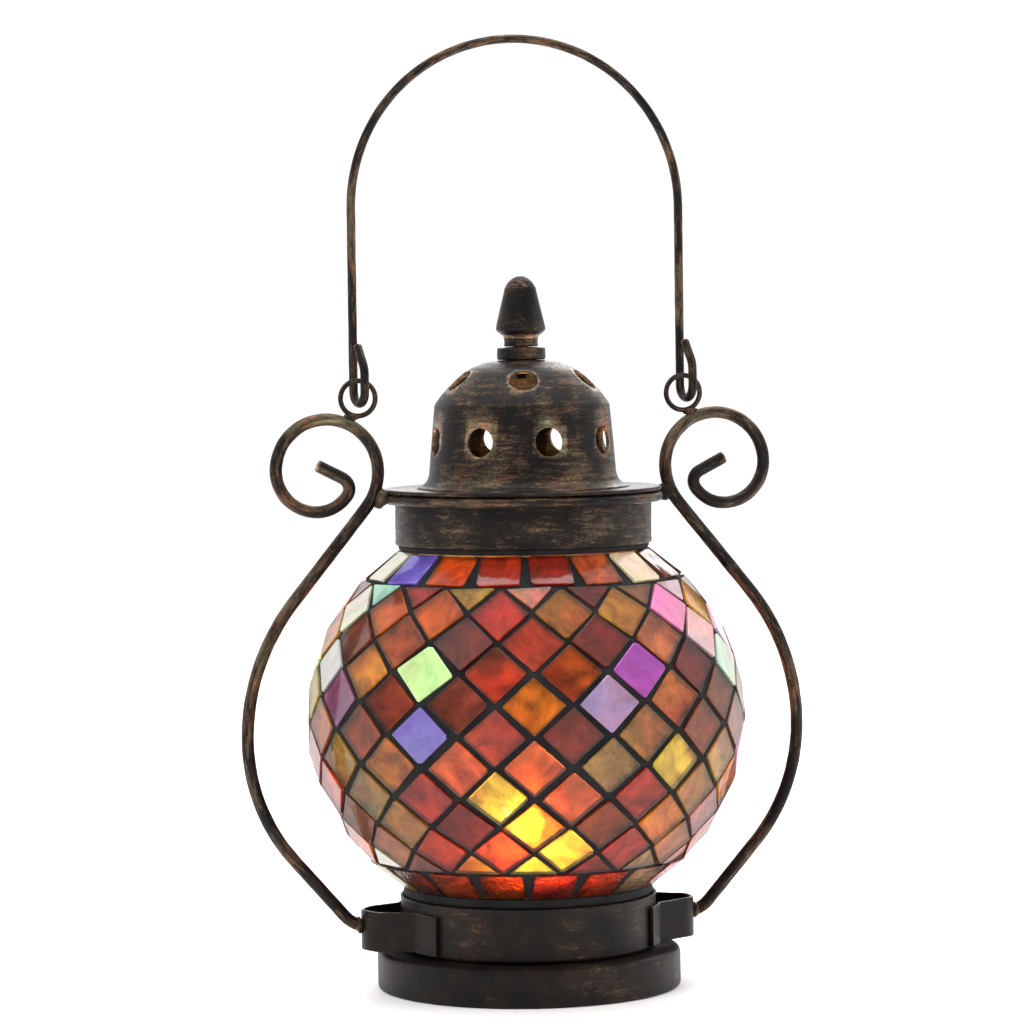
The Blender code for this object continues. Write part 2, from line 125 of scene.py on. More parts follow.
class Tree:
    """Short forms for building one material's nodes."""

    def __init__(self, name):
        self.material = bpy.data.materials.new(name)
        self.material.use_nodes = True
        self.nodes = self.material.node_tree.nodes
        self.links = self.material.node_tree.links
        self.nodes.clear()
        self.output = self.nodes.new("ShaderNodeOutputMaterial")

    def feed(self, socket, value):
        if isinstance(value, bpy.types.NodeSocket):
            self.links.new(value, socket)
        elif isinstance(value, tuple) and len(value) == 3 and socket.type == "RGBA":
            socket.default_value = (*value, 1.0)
        else:
            socket.default_value = value

    def add(self, kind, inputs=(), **settings):
        node = self.nodes.new("ShaderNode" + kind)
        for name, value in settings.items():
            setattr(node, name, value)
        for name, value in dict(inputs).items():
            self.feed(node.inputs[name], value)
        return node

    def plus(self, first, second):
        return self.add("Math", {0: first, 1: second}, operation="ADD").outputs[0]

    def minus(self, first, second):
        return self.add("Math", {0: first, 1: second}, operation="SUBTRACT").outputs[0]

    def times(self, first, second):
        return self.add("Math", {0: first, 1: second}, operation="MULTIPLY").outputs[0]

    def mix(self, factor, first, second, blend="MIX"):
        node = self.add("Mix", data_type="RGBA", blend_type=blend)
        self.feed(node.inputs[0], factor)
        self.feed(node.inputs[6], first)
        self.feed(node.inputs[7], second)
        return node.outputs[2]

    def tinted(self, first, second):
        return self.mix(1.0, first, second, "MULTIPLY")

    def ramp(self, factor, stops):
        """Maps a factor through (position, value) stops, where a value is a grey or a colour."""
        node = self.add("ValToRGB", {0: factor})
        band = node.color_ramp
        while len(band.elements) < len(stops):
            band.elements.new(0.5)
        for element, (position, value) in zip(band.elements, stops):
            element.position = position
            element.color = (*value, 1.0) if isinstance(value, tuple) else (value, value, value, 1.0)
        return node.outputs[0]

    def coordinates(self, scale=(1, 1, 1), attribute=None):
        """Object coordinates, or a stored attribute, stretched by this scale."""
        source = (
            self.add("Attribute", attribute_name=attribute).outputs["Vector"]
            if attribute
            else self.add("TexCoord").outputs["Object"]
        )
        return self.add("Mapping", {"Vector": source, "Scale": scale}).outputs[0]

    def value_of(self, attribute):
        return self.add("Attribute", attribute_name=attribute).outputs["Fac"]

    def noise(self, vector, scale, detail=4.0, roughness=0.5, distortion=0.0, seed=None):
        inputs = {"Vector": vector, "Scale": scale, "Detail": detail, "Roughness": roughness}
        inputs["Distortion"] = distortion
        node = self.add("TexNoise", inputs, noise_dimensions="3D" if seed is None else "4D")
        if seed is not None:
            self.feed(node.inputs["W"], seed)
        return node.outputs[0]

    def bump(self, height, distance, strength):
        return self.add("Bump", {"Height": height, "Distance": distance, "Strength": strength}).outputs[0]

    def principled(self, colour, roughness, normal, others=()):
        inputs = {"Base Color": colour, "Roughness": roughness, "Normal": normal, **dict(others)}
        return self.add("BsdfPrincipled", inputs).outputs[0]

    def blend(self, share, first, second):
        """The first shader, with this share of the second."""
        return self.add("MixShader", {0: share, 1: first, 2: second}).outputs[0]

    def finish(self, surface):
        self.links.new(surface, self.output.inputs["Surface"])
        return self.material


# ---------------------------------------------------------------- materials

BRONZE_DARK = (0.004, 0.0039, 0.0045)
BRONZE_BROWN = (0.019, 0.012, 0.0085)
BRONZE_RUBBED = (0.115, 0.078, 0.05)
BRONZE_BRIGHT = (0.42, 0.31, 0.2)
FLAME_STRENGTH = 520.0


def rubbed_bronze(name, stretch, attribute=None, rub=0.5):
    """Near-black paint over bronze, rubbed through in thin streaks and along the edges."""
    tree = Tree(name)
    where = tree.coordinates(stretch, attribute)
    even = tree.coordinates((5.0, 1, 1) if attribute else (1, 1, 1), attribute)
    patchy = 0.24 if attribute else 0.42
    streaks = tree.noise(where, 1050.0, 8.0, 0.74, 0.2)
    strokes = tree.noise(where, 170.0, 3.0, 0.55, 0.4)
    patches = tree.noise(even, 80.0, 3.0, 0.6)
    tint = tree.noise(even, 140.0, 3.0, 0.6, 0.5)
    grain = tree.noise(even, 3000.0, 3.0, 0.7)
    edge = tree.value_of("wear")
    body = tree.plus(tree.times(streaks, 0.66), tree.times(strokes, 0.34))
    body = tree.plus(body, tree.times(tree.minus(patches, 0.5), patchy))
    body = tree.plus(body, tree.times(tree.minus(grain, 0.5), 0.16))
    body = tree.plus(body, tree.times(edge, 0.18))
    low = 0.56 - 0.08 * rub
    rubbed = tree.ramp(body, ((low, 0.0), (low + 0.1, 1.0)))
    brown = tree.ramp(patches, ((0.35, 0.0), (0.7, 1.0)))
    base = tree.mix(brown, BRONZE_DARK, BRONZE_BROWN)
    hue = tree.ramp(tint, ((0.36, (0.8, 1.05, 0.9)), (0.5, (1.0, 1.0, 1.0)), (0.64, (1.25, 0.86, 0.72))))
    metal = tree.mix(tree.ramp(body, ((low + 0.12, 0.0), (low + 0.24, 1.0))), BRONZE_RUBBED, BRONZE_BRIGHT)
    colour = tree.mix(rubbed, base, tree.tinted(metal, hue))
    rough = tree.minus(tree.plus(0.36, tree.times(grain, 0.14)), tree.times(rubbed, 0.1))
    height = tree.plus(tree.times(body, 0.8), tree.times(grain, 0.35))
    others = {"Metallic": tree.times(rubbed, 0.4), "Specular IOR Level": 0.14}
    return tree.finish(tree.principled(colour, rough, tree.bump(height, 0.00012, 0.6), others))


def streaked(name):
    """The parts that both kinds of tile glass share: (tree, colour of this tile, streaks, clouds, normal)."""
    tree = Tree(name)
    seed = tree.times(tree.value_of("tile_seed"), 40.0)
    own = tree.add("Attribute", attribute_name="tile_colour").outputs["Color"]
    where = tree.coordinates()
    swirl = tree.noise(where, 85.0, 5.0, 0.6, 2.4, seed)
    cloud = tree.noise(where, 62.0, 2.0, 0.5, 0.8, tree.plus(seed, 7.0))
    ripple = tree.noise(where, 160.0, 2.0, 0.5, 0.0, seed)
    seeds = tree.noise(where, 900.0, 2.0, 0.5)
    depth = tree.plus(0.08, tree.times(tree.value_of("tile_hammer"), 4.0))
    normal = tree.bump(tree.plus(ripple, tree.times(seeds, depth)), 0.0006, 0.35)
    return tree, own, swirl, cloud, normal


def tile_glass():
    """Streaky coloured sheet glass, clear enough to show the flame. Each tile has its own colour and seed."""
    tree, own, swirl, cloud, normal = streaked("tile_glass")
    shade = tree.ramp(swirl, ((0.3, 0.28), (0.5, 0.9), (0.68, 1.6)))
    turn = tree.ramp(cloud, ((0.36, (1.12, 1.3, 0.65)), (0.5, (1.0, 0.97, 0.68)), (0.64, (1.0, 0.7, 0.58))))
    colour = tree.tinted(tree.tinted(own, shade), turn)
    others = {"IOR": 1.45, "Transmission Weight": 0.88, "Coat Weight": 0.08, "Coat Roughness": 0.04}
    clear, hazy = (tree.principled(colour, roughness, normal, others) for roughness in (0.05, 0.38))
    glow = tree.add("BsdfTranslucent", {"Color": colour, "Normal": normal}).outputs[0]
    body = tree.blend(0.14, tree.blend(0.3, clear, hazy), glow)
    through = tree.add("BsdfTransparent", {"Color": colour}).outputs[0]
    lamp = tree.add("LightPath").outputs["Is Shadow Ray"]
    return tree.finish(tree.blend(lamp, body, through))


def pearl_glass_painted_reflection():
    """Glass with a pearly, iridescent face, which hides what lies behind it. Its bright pale colour is partly
    the glass's own tint and partly painted reflection.
    """
    tree, own, swirl, cloud, normal = streaked("pearl_glass_painted_reflection")
    # Tint drift across each tile: painted reflection of the iridescent film, put into the base colour.
    pearl_painted_reflection_drift = tree.ramp(
        cloud, ((0.34, (0.82, 1.05, 1.15)), (0.5, (1.04, 1.0, 0.94)), (0.66, (1.12, 0.8, 1.08)))
    )
    shade = tree.ramp(swirl, ((0.3, 0.72), (0.7, 1.2)))
    colour = tree.tinted(tree.tinted(own, shade), pearl_painted_reflection_drift)
    # Low metallic and a light coat: the bright base colour stands in for the film's reflection, as painted
    # reflection.
    others = {"Metallic": 0.25, "Transmission Weight": 0.1, "Coat Weight": 0.5, "Coat Roughness": 0.05}
    return tree.finish(tree.principled(colour, 0.16, normal, others))


def charcoal_grout():
    tree = Tree("grout")
    where = tree.coordinates()
    sand = tree.noise(where, 1500.0, 4.0, 0.65)
    stain = tree.noise(where, 120.0, 3.0, 0.5)
    stained = tree.ramp(stain, ((0.35, 0.0), (0.7, 1.0)))
    colour = tree.mix(stained, (0.005, 0.0055, 0.0065), (0.016, 0.016, 0.017))
    rough = tree.plus(0.62, tree.times(sand, 0.3))
    normal = tree.bump(tree.plus(sand, tree.times(stain, 0.6)), 0.0004, 0.7)
    return tree.finish(tree.principled(colour, rough, normal, {"Specular IOR Level": 0.25}))


def clear_glass():
    """Thin blown glass: mostly clear, with a faint grey cast and small ripples."""
    tree = Tree("blown_glass")
    ripple = tree.noise(tree.coordinates((1, 1, 0.5)), 70.0, 2.0)
    colour = tree.mix(ripple, (0.86, 0.9, 0.88), (0.95, 0.96, 0.94))
    return tree.finish(tree.principled(colour, 0.03, tree.bump(ripple, 0.0005, 0.3), {"Alpha": 0.09}))


def plain_surface(name, first, second, roughness, scale, metallic=0.0, subsurface=0.0):
    """A mottled surface between two colours, with a fine texture."""
    tree = Tree(name)
    where = tree.coordinates()
    mottle = tree.noise(where, scale, 4.0, 0.6)
    fine = tree.noise(where, scale * 9, 3.0, 0.6)
    rough = tree.plus(roughness - 0.06, tree.times(mottle, 0.14))
    normal = tree.bump(tree.plus(mottle, tree.times(fine, 0.5)), 0.0001, 0.5)
    others = {"Metallic": metallic, "Subsurface Weight": subsurface, "Subsurface Scale": 0.004}
    return tree.finish(tree.principled(tree.mix(mottle, first, second), rough, normal, others))


def flame_light():
    """Yellow-white at the heart, orange at the tip and blue-grey at the foot."""
    tree = Tree("flame")
    height = tree.value_of("flame_height")
    foot, low, heart, tip = (0.25, 0.2, 0.6), (1.0, 0.6, 0.3), (1.0, 0.92, 0.8), (1.0, 0.62, 0.3)
    colour = tree.ramp(height, ((0.0, foot), (0.15, low), (0.4, heart), (1.0, tip)))
    strength = tree.ramp(height, ((0.0, 0.05), (0.3, 0.9), (0.6, 1.0), (1.0, 0.45)))
    light = {"Color": colour, "Strength": tree.times(strength, FLAME_STRENGTH)}
    return tree.finish(tree.add("Emission", light).outputs[0])


# ---------------------------------------------------------------- shaping tools


# The kind of a stored attribute and the name of its values, by how many numbers each value holds.
ATTRIBUTE_KINDS = {1: ("FLOAT", "value"), 3: ("FLOAT_VECTOR", "vector"), 4: ("FLOAT_COLOR", "color")}


def make_object(name, vertices, faces, material, body, replaced=(), slot=None, **attributes):
    """A new smooth piece that rides on a body. Vertices are millimetres in the row frame."""
    mesh = bpy.data.meshes.new(name)
    mesh.from_pydata([Vector(v) * MM for v in vertices], [], faces)
    for label, values in attributes.items():
        size = len(values[0]) if isinstance(values[0], tuple) else 1
        kind, field = ATTRIBUTE_KINDS[size]
        layer = mesh.attributes.new(label, kind, "POINT")
        flat = values if size == 1 else [number for value in values for number in value]
        layer.data.foreach_set(field, flat)
    mesh.materials.append(material)
    mesh.shade_smooth()
    piece = bpy.data.objects.new(name, mesh)
    bpy.context.scene.collection.objects.link(piece)
    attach(piece, body)
    if replaced:
        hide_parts(*replaced)
    return piece


def filleted(outline, radius, closed):
    """Rounds the corners of a (radius, height) outline and adds each point's wear: 1 on an outer corner."""
    points = [Vector(point) for point in outline]
    count = len(points)
    area = sum(a.x * b.y - b.x * a.y for a, b in zip(points, points[1:] + points[:1]))
    result = []
    for index, point in enumerate(points):
        if not closed and index in (0, count - 1):
            result.append((*point, 0.0))
            continue
        before, after = points[index - 1] - point, points[(index + 1) % count] - point
        turn = math.atan2(before.cross(after), -before.dot(after))
        sharp = abs(math.degrees(turn)) > 20
        wear = 1.0 if sharp and turn * area > 0 else 0.0
        reach = min(radius, before.length * 0.45, after.length * 0.45)
        start, end = point + before.normalized() * reach, point + after.normalized() * reach
        room = min(3.2 * radius, before.length * 0.48)
        if wear and room > reach * 1.2:
            result.append((*(point + before.normalized() * room), 0.0))
        steps = 4 if sharp else 2
        for step in range(steps + 1):
            share = step / steps
            place = (1 - share) ** 2 * start + 2 * share * (1 - share) * point + share**2 * end
            result.append((*place, wear))
        room = min(3.2 * radius, after.length * 0.48)
        if wear and room > reach * 1.2:
            result.append((*(point + after.normalized() * room), 0.0))
    return result


def turned(
    name, outline, material, body, steps=112, fillet=0.25, wobble=0.0, raised=0.0, rubbing=1.0, **options
):
    """Turns a (radius, height) outline about Z. It is a closed loop unless both its ends lie on the axis."""
    closed = outline[0][0] > 0 or outline[-1][0] > 0
    profile = filleted(outline, fillet, closed)
    vertices, faces, wear, rows = [], [], [], []
    for radius, height, worn in profile:
        single = radius < 1e-6
        row = []
        for index in range(1 if single else steps):
            turn = index * math.tau / steps
            place = Vector((radius * math.cos(turn), radius * math.sin(turn), height + raised))
            if wobble and not single:
                spot = Vector((place.x * 0.06, place.y * 0.06, place.z * 0.1))
                shift = noise.noise(spot + Vector((raised, 3.1, 7.7)))
                place += Vector((math.cos(turn), math.sin(turn), 0.35)) * shift * wobble
            row.append(len(vertices))
            vertices.append(place)
            wear.append(worn * rubbing)
        rows.append(row)
    pairs = list(zip(rows, rows[1:])) + ([(rows[-1], rows[0])] if closed else [])
    for low, high in pairs:
        for index in range(steps):
            after = (index + 1) % steps
            lower = (low[index % len(low)], low[after % len(low)])
            upper = (high[after % len(high)], high[index % len(high)])
            face = tuple(dict.fromkeys(lower + upper))
            if len(face) > 2:
                faces.append(face)
    area = sum(a[0] * b[1] - b[0] * a[1] for a, b in zip(outline, outline[1:] + outline[:1]))
    if area < 0:
        faces = [face[::-1] for face in faces]
    return make_object(name, vertices, faces, material, body, wear=wear, **options)


def arc(centre, radius, start, end, steps):
    turns = [math.radians(start + (end - start) * index / steps) for index in range(steps + 1)]
    return [(centre[0] + radius * math.cos(turn), centre[1] + radius * math.sin(turn)) for turn in turns]


def bent(start, heading, bends, step=0.8):
    """Points along a wire bent in one plane, about one step apart. A turn to the left is positive."""
    points = [Vector(start)]
    for size, turn in bends:
        along = Vector((math.cos(math.radians(heading)), math.sin(math.radians(heading))))
        if turn == 0:
            count = math.ceil(size / step)
            points += [points[-1] + along * size * (index + 1) / count for index in range(count)]
            continue
        side = math.copysign(1, turn)
        centre = points[-1] + size * side * Vector((-along.y, along.x))
        spoke = points[-1] - centre
        count = max(math.ceil(size * math.radians(abs(turn)) / step), math.ceil(abs(turn) / 9))
        turns = [math.radians(turn * (index + 1) / count) for index in range(count)]
        points += [centre + Matrix.Rotation(angle, 2) @ spoke for angle in turns]
        heading += turn
    return points


def eased(points, passes=2):
    """The same path with its bends eased into one another."""
    path = [Vector(point) for point in points]
    for _ in range(passes):
        path = [path[0]] + [(a + 2 * b + c) / 4 for a, b, c in zip(path, path[1:], path[2:])] + [path[-1]]
    return path


# The rounded end of a wire: (distance in from the end, width, wear), the first two in wire radii.
WIRE_END = ((-0.02, 0.72, 1.0), (0.05, 0.92, 1.0), (0.25, 1.0, 0.6))


def swept(name, path, radius, material, body, closed=False, sides=18, hammer=0.0, **options):
    """A round wire along a path. Its grain attribute runs along and around it."""
    count = len(path)
    tangents, travelled = [], [0.0]
    for index in range(count):
        before = path[index - 1] if closed or index else path[index]
        after = path[(index + 1) % count] if closed or index < count - 1 else path[index]
        tangents.append((after - before).normalized())
        if index:
            travelled.append(travelled[-1] + (path[index] - path[index - 1]).length)
    stations = [(*station, radius, 0.0) for station in zip(path, tangents, travelled)]
    if not closed:
        start, end = (
            [
                (path[at] + tangents[at] * inward * radius * way, tangents[at], run, radius * wide, worn)
                for inward, wide, worn in WIRE_END
            ]
            for at, way, run in ((0, 1, 0.0), (-1, -1, travelled[-2]))
        )
        stations = start + stations[1:-1] + end[::-1]
    side = tangents[0].orthogonal().normalized()
    vertices, faces, grain, wear, rings = [], [], [], [], []
    for centre, tangent, run, size, worn in stations:
        side = (side - tangent * side.dot(tangent)).normalized()
        across = tangent.cross(side).normalized()
        rings.append(range(len(vertices), len(vertices) + sides))
        for index in range(sides):
            turn = index * math.tau / sides
            way = side * math.cos(turn) + across * math.sin(turn)
            dent = hammer * noise.noise(Vector((run * 0.35, turn * 0.8, radius * 9)))
            vertices.append(centre + way * (size + dent))
            grain.append((run * 0.16 * MM, math.cos(turn) * radius * MM, math.sin(turn) * radius * MM))
            wear.append(worn)
    for first, second in zip(rings, rings[1:]):
        for index in range(sides):
            after = (index + 1) % sides
            faces.append((first[index], first[after], second[after], second[index]))
    if closed:
        first, second = rings[-1], rings[0]
        near = min(range(sides), key=lambda k: (vertices[second[k]] - vertices[first[0]]).length)
        for index in range(sides):
            after = (index + 1) % sides
            far = (second[(after + near) % sides], second[(index + near) % sides])
            faces.append((first[index], first[after], *far))
    else:
        faces += [tuple(rings[0][::-1]), tuple(rings[-1])]
    return make_object(name, vertices, faces, material, body, grain=grain, wear=wear, **options)


def drop(rows, turns, place):
    """(vertices, faces) of a closed drop from its top to its foot, where place(share, turn) sets a vertex."""
    vertices, faces, circles = [], [], []
    for row in range(rows + 1):
        count = 1 if row in (0, rows) else turns
        circles.append((len(vertices), count))
        vertices += [place(row / rows, index * math.tau / turns) for index in range(count)]
    for (upper, upper_count), (lower, lower_count) in zip(circles, circles[1:]):
        for index in range(turns):
            after = (index + 1) % turns
            left = (upper + index % upper_count, lower + index % lower_count)
            right = (lower + after % lower_count, upper + after % upper_count)
            faces.append(tuple(dict.fromkeys(left + right)))
    return vertices, faces


def blob(name, centre, size, material, seed):
    """A bead of solder: a lumpy drop."""

    def place(share, turn):
        lean = math.pi * share
        way = Vector((math.sin(lean) * math.cos(turn), math.sin(lean) * math.sin(turn), math.cos(lean)))
        lump = 1 + 0.22 * noise.noise(way * 1.7 + Vector((seed, 0, 0)))
        return Vector(centre) + Vector(w * s for w, s in zip(way, size)) * lump

    vertices, faces = drop(12, 20, place)
    grain = [tuple(v * MM * 0.5) for v in vertices]
    wear = [0.0] * len(vertices)
    return make_object(
        name, vertices, faces, material, "lantern", slot="bronze_wire", wear=wear, grain=grain
    )


# ---------------------------------------------------------------- mosaic

field_low, field_high = size_of("mosaic_field")
GLOBE_RADIUS = field_high.x
GLOBE_HALF_HEIGHT = (field_high.z - field_low.z) / 2 / math.sin(math.radians(FIELD_END))
GLOBE_CENTRE = Vector((0, 0, (field_low.z + field_high.z) / 2))
# A tile's flat face lies this far from the centre.
TILE_FACE = math.sqrt(GLOBE_RADIUS**2 - TILE_HALF_DIAGONAL**2)
GROUT_RADIUS = TILE_FACE - TILE_PROUD + 0.12
GROUT_BACK = GLOBE_RADIUS - 1.95

# Colours of the glass.
GLASS = {
    "a": (0.7, 0.3, 0.045),  # amber
    "o": (0.66, 0.2, 0.025),  # orange
    "r": (0.5, 0.085, 0.018),  # red-orange
    "s": (0.62, 0.2, 0.08),  # salmon
    "d": (0.22, 0.028, 0.01),  # dark red
    "c": (0.42, 0.05, 0.035),  # crimson
    "w": (0.48, 0.14, 0.024),  # orange-brown
    "b": (0.28, 0.075, 0.018),  # brown
    "y": (0.82, 0.58, 0.15),  # golden yellow
    "l": (0.48, 0.32, 0.075),  # olive amber
    "t": (0.46, 0.28, 0.1),  # tan
    "p": (0.5, 0.21, 0.15),  # dusty pink
    "m": (0.33, 0.12, 0.085),  # mauve
    "g": (0.32, 0.21, 0.13),  # grey-brown
    "h": (0.38, 0.22, 0.19),  # grey-lilac
    "q": (0.5, 0.25, 0.3),  # pale pink
    "v": (0.15, 0.035, 0.09),  # purple
    # The pearly glasses, with q and v above: their bright pale colours are partly their own tint and partly
    # painted reflection.
    "I": (0.4, 0.47, 0.33),  # pearly ivory
    "G": (0.6, 0.72, 0.33),  # bright pale green
    "V": (0.29, 0.037, 0.29),  # magenta-violet
    "L": (0.4, 0.2, 0.42),  # violet-lilac
    "B": (0.12, 0.105, 0.4),  # blue-violet
    "P": (0.55, 0.17, 0.36),  # bright pink
    "C": (0.34, 0.66, 0.48),  # pale cyan-green
}
# The glasses drawn with the pearl material, whose bright colour is partly painted reflection.
PEARL_PAINTED_REFLECTION = "qvIGVLBPC"  # the glasses with a pearly face
REST_OF_GLASS = "aaaaoooowwwrrrddccbbylltsspmmgvaorwqIPG"
# What each row shows from left to right, from this azimuth on. The tiles behind are drawn from the rest.
ROW_LAYOUT = {
    1: (-68, "IwocalP"),
    2: (-58, "mwdrdpq"),
    3: (-68, "IaGrwVdI"),
    4: (-58, "vbmaLpb"),
    5: (-68, "tbBrdtbm"),
    6: (-58, "tasohyl"),
    7: (-48, "tcyscl"),
    8: (-78, "qmldobah"),
    9: (-48, "wrrycl"),
}
TOP_TRIANGLES = (-58, "Cclsdgq")
BOTTOM_TRIANGLES = (-38, "maych")
TOP_BAND = (-70, "IBorcsGb")
BOTTOM_BAND = (-50, "drrcrh")


def on_globe(latitude, azimuth, radius):
    """A place on a sphere about the globe's centre. Azimuths run from the front to the right."""
    lat, turn = math.radians(latitude), math.radians(azimuth + FRONT)
    way = Vector((math.cos(lat) * math.cos(turn), math.cos(lat) * math.sin(turn), math.sin(lat)))
    return GLOBE_CENTRE + way * radius


def flattened(vertices):
    """Presses what was laid on the sphere to the globe's lower height."""
    press = GLOBE_HALF_HEIGHT / GLOBE_RADIUS
    return [Vector((v.x, v.y, GLOBE_CENTRE.z + (v.z - GLOBE_CENTRE.z) * press)) for v in vertices]


def spread(layout, dice):
    """(azimuth, kind of glass) for every tile of a row: the layout at the front, and chosen ones behind."""
    first, kinds = layout
    kinds += "".join(dice.choice(REST_OF_GLASS) for _ in range(COLUMNS - len(kinds)))
    return [(first + index * COLUMN_PITCH, kind) for index, kind in enumerate(kinds)]


class Mosaic:
    """Gathers the grout around the tiles as one net."""

    def __init__(self):
        self.net_vertices, self.net_faces, self.shared = [], [], {}

    def shared_vertex(self, latitude, azimuth, radius):
        key = (round(latitude, 2), round(azimuth % 360, 2) % 360, radius)
        if key not in self.shared:
            self.shared[key] = len(self.net_vertices)
            self.net_vertices.append(on_globe(latitude, azimuth, radius))
        return self.shared[key]

    def cell(self, rim, hole):
        """Adds the grout between a cell's rim and its tile, front and back. Both lists run the same way."""
        count = len(rim)
        ways = [(point - GLOBE_CENTRE).normalized() for point in hole]
        loops = []
        for radius in (GROUT_RADIUS, GROUT_BACK):
            outer = [self.shared_vertex(*corner, radius) for corner in rim]
            start = len(self.net_vertices)
            self.net_vertices += [GLOBE_CENTRE + way * radius for way in ways]
            loops.append((outer, list(range(start, start + count))))
        (front_rim, front_hole), (back_rim, back_hole) = loops
        for index in range(count):
            after = (index + 1) % count
            self.net_faces.append((front_rim[index], front_rim[after], front_hole[after], front_hole[index]))
            self.net_faces.append((back_rim[after], back_rim[index], back_hole[index], back_hole[after]))
            self.net_faces.append((front_hole[index], front_hole[after], back_hole[after], back_hole[index]))

    def edge(self, latitude, azimuths, upward):
        """Closes the net along its top or bottom edge."""
        for first, second in zip(azimuths, azimuths[1:] + azimuths[:1]):
            a, b = (self.shared_vertex(latitude, turn, GROUT_RADIUS) for turn in (first, second))
            c, d = (self.shared_vertex(latitude, turn, GROUT_BACK) for turn in (second, first))
            self.net_faces.append((a, b, c, d) if not upward else (b, a, d, c))


def slab(corners, centre, normal, dice, tiles, kind, hammer):
    """One flat tile with eased edges and slightly uneven, nipped corners."""
    jitter = [1 + dice.uniform(-0.16, 0.16) for _ in range(3)]
    colour = tuple(min(max(part * change, 0.0), 0.95) for part, change in zip(GLASS[kind], jitter))
    seed = dice.random()
    outline = []
    count = len(corners)
    for index, corner in enumerate(corners):
        before, after = corners[index - 1], corners[(index + 1) % count]
        nip = dice.choice((0.25, 0.3, 0.4, 0.75))
        for other in (before, after):
            outline.append(corner + (other - corner).normalized() * nip)
    rings = ((0.35, TILE_THICKNESS), (0.0, TILE_THICKNESS - 0.3), (0.0, 0.28), (0.06, 0.1), (0.22, 0.0))
    start = len(tiles["vertices"])
    for inset, depth in rings:
        for point in outline:
            inward = (centre - point).normalized() * inset
            tiles["vertices"].append(point + inward - normal * depth)
            tiles["tile_colour"].append((*colour, 1.0))
            tiles["tile_seed"].append(seed)
            tiles["tile_hammer"].append(hammer)
    size = len(outline)
    # Faces of pearly glass take the second material, whose bright colour is partly painted reflection.
    tiles["pearl_painted_reflection_faces"] += [kind in PEARL_PAINTED_REFLECTION] * (2 + size * (len(rings) - 1))
    tiles["faces"].append(tuple(start + index for index in range(size))[::-1])
    for ring in range(len(rings) - 1):
        low, high = start + ring * size, start + (ring + 1) * size
        for index in range(size):
            after = (index + 1) % size
            tiles["faces"].append((low + index, low + after, high + after, high + index))
    top = start + (len(rings) - 1) * size
    tiles["faces"].append(tuple(top + index for index in range(size)))


def lay_tile(mosaic, rim, dice, tiles, kind, most, slack=0.62, hammer=0.0, square=False):
    """Lays one tile in a cell: its outline is the cell drawn in, no larger than the glass squares come."""
    points = [on_globe(latitude, azimuth, 1.0) - GLOBE_CENTRE for latitude, azimuth in rim]
    normal = sum(points, Vector()).normalized()
    turn = Matrix.Rotation(math.radians(dice.gauss(0, 1.7)), 3, normal)
    east = Vector((0, 0, 1)).cross(normal).normalized()
    north = normal.cross(east)
    nudge = east * dice.uniform(-0.22, 0.22) + north * dice.uniform(-0.22, 0.22)
    middle = normal * (TILE_FACE + dice.uniform(-0.06, 0.05))
    tilt = (normal + east * dice.gauss(0, 0.012) + north * dice.gauss(0, 0.012)).normalized()
    flat = [point * (middle.dot(tilt) / point.dot(tilt)) - middle for point in points]
    if square:
        narrow = min(abs(point.dot(east)) for point in flat)
        for point in flat:
            wide = point.dot(east)
            point -= east * math.copysign((abs(wide) - narrow) * 0.75, wide)
    corners = []
    for point in flat:
        length = point.length
        reach = min(length - slack, most)
        corners.append(GLOBE_CENTRE + middle + nudge + turn @ (point * (reach / length)))
    centre = sum(corners, Vector()) / len(corners)
    slab(corners, centre, tilt, dice, tiles, kind, hammer)
    hole = [centre + (corner - centre) * 0.955 for corner in corners]
    mosaic.cell(rim, hole)


def new_tiles():
    lists = ("vertices", "faces", "pearl_painted_reflection_faces", "tile_colour", "tile_seed", "tile_hammer")
    return {name: [] for name in lists}


def make_tiles(name, tiles, glasses, node):
    stored = {label: tiles[label] for label in ("tile_colour", "tile_seed", "tile_hammer")}
    piece = make_object(name, flattened(tiles["vertices"]), tiles["faces"], glasses[0], "lantern",
                        replaced=(node,), slot="mosaic_glass", **stored)
    piece.data.materials.append(glasses[1])
    # Pearly faces get the pearl material, whose bright colour is partly painted reflection.
    piece.data.polygons.foreach_set("material_index", [int(pearly) for pearly in tiles["pearl_painted_reflection_faces"]])
    piece.data.set_sharp_from_angle(angle=math.radians(28))


